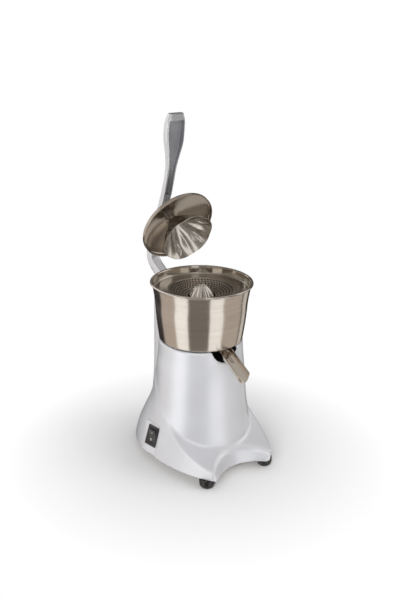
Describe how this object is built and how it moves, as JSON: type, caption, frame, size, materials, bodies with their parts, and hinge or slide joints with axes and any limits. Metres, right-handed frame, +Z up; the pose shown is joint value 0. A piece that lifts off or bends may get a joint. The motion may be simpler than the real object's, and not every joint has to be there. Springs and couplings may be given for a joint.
{
  "type": "citrus juicer",
  "caption": "Bench citrus press: motor-driven reamer in a steel bowl with strainer and open spout, silver housing, and a swinging lever with a tipping press cup.",
  "frame": {"origin": "the drive axis at the floor, in the plane the feet stand on", "axes": "+Z up along the drive axis, -Y the front with the spout, +X to the right seen from the front"},
  "size_m": [0.1968, 0.282, 0.5745],
  "materials": {
    "silver_paint": "satin silver paint on cast aluminium",
    "brushed_steel": "brushed stainless steel",
    "polished_steel": "polished stainless steel",
    "cast_aluminium": "bright cast aluminium",
    "lamination_steel": "varnished laminations",
    "copper_wire": "enamelled copper wire",
    "bronze": "sintered bronze",
    "black_rubber": "smooth black rubber",
    "black_plastic": "semi-gloss black",
    "white_plastic": "matt off-white"
  },
  "bodies": {
    "frame": {"body_casting": "silver_paint", "pivot_post": "silver_paint", "base_plate": "brushed_steel", "rubber_feet": "black_rubber", "foot_screws": "brushed_steel", "juice_bowl": "brushed_steel", "bowl_spout": "polished_steel", "strainer": "polished_steel", "seat_ring": "black_rubber", "shaft_seal": "black_rubber", "switch_frame": "black_plastic", "cable_gland": "black_plastic", "stator_stack": "lamination_steel", "stator_windings": "copper_wire", "upper_end_bell": "cast_aluminium", "lower_end_bell": "cast_aluminium", "upper_bearing": "polished_steel", "lower_bearing": "polished_steel", "motor_bolts": "brushed_steel", "run_capacitor": "white_plastic", "capacitor_clip": "brushed_steel", "terminal_block": "white_plastic", "pivot_pin": "brushed_steel"},
    "drive": {"rotor": "lamination_steel", "drive_shaft": "polished_steel", "cooling_fan": "black_plastic", "reamer": "polished_steel"},
    "lever": {"lever_arm": "cast_aluminium", "pivot_bushes": "bronze", "cup_pin": "brushed_steel", "cup_circlips": "brushed_steel"},
    "cup": {"cup_yoke": "brushed_steel", "splash_dish": "polished_steel", "press_bell": "polished_steel", "bell_bolt": "brushed_steel"},
    "rocker": {"switch_rocker": "black_plastic"}
  },
  "joints": [
    {"name": "lever_hinge", "type": "hinge", "parent": "frame", "child": "lever", "pos_m": [0, 0.0937, 0.2787], "axis": [1, 0, 0], "range_deg": [0, 46]},
    {"name": "cup_hinge", "type": "hinge", "parent": "lever", "child": "cup", "pos_m": [0, 0.10158, 0.40584], "axis": [1, 0, 0], "range_deg": [0, 17.6]},
    {"name": "drive_spin", "type": "hinge", "parent": "frame", "child": "drive", "pos_m": [0, 0, 0.25], "axis": [0, 0, 1], "continuous": true},
    {"name": "rocker_hinge", "type": "hinge", "parent": "frame", "child": "rocker", "pos_m": [-0.0866, 0.01533, 0.04427], "axis": [-0.1392, 0.9903, 0], "range_deg": [0, 14]}
  ]
}
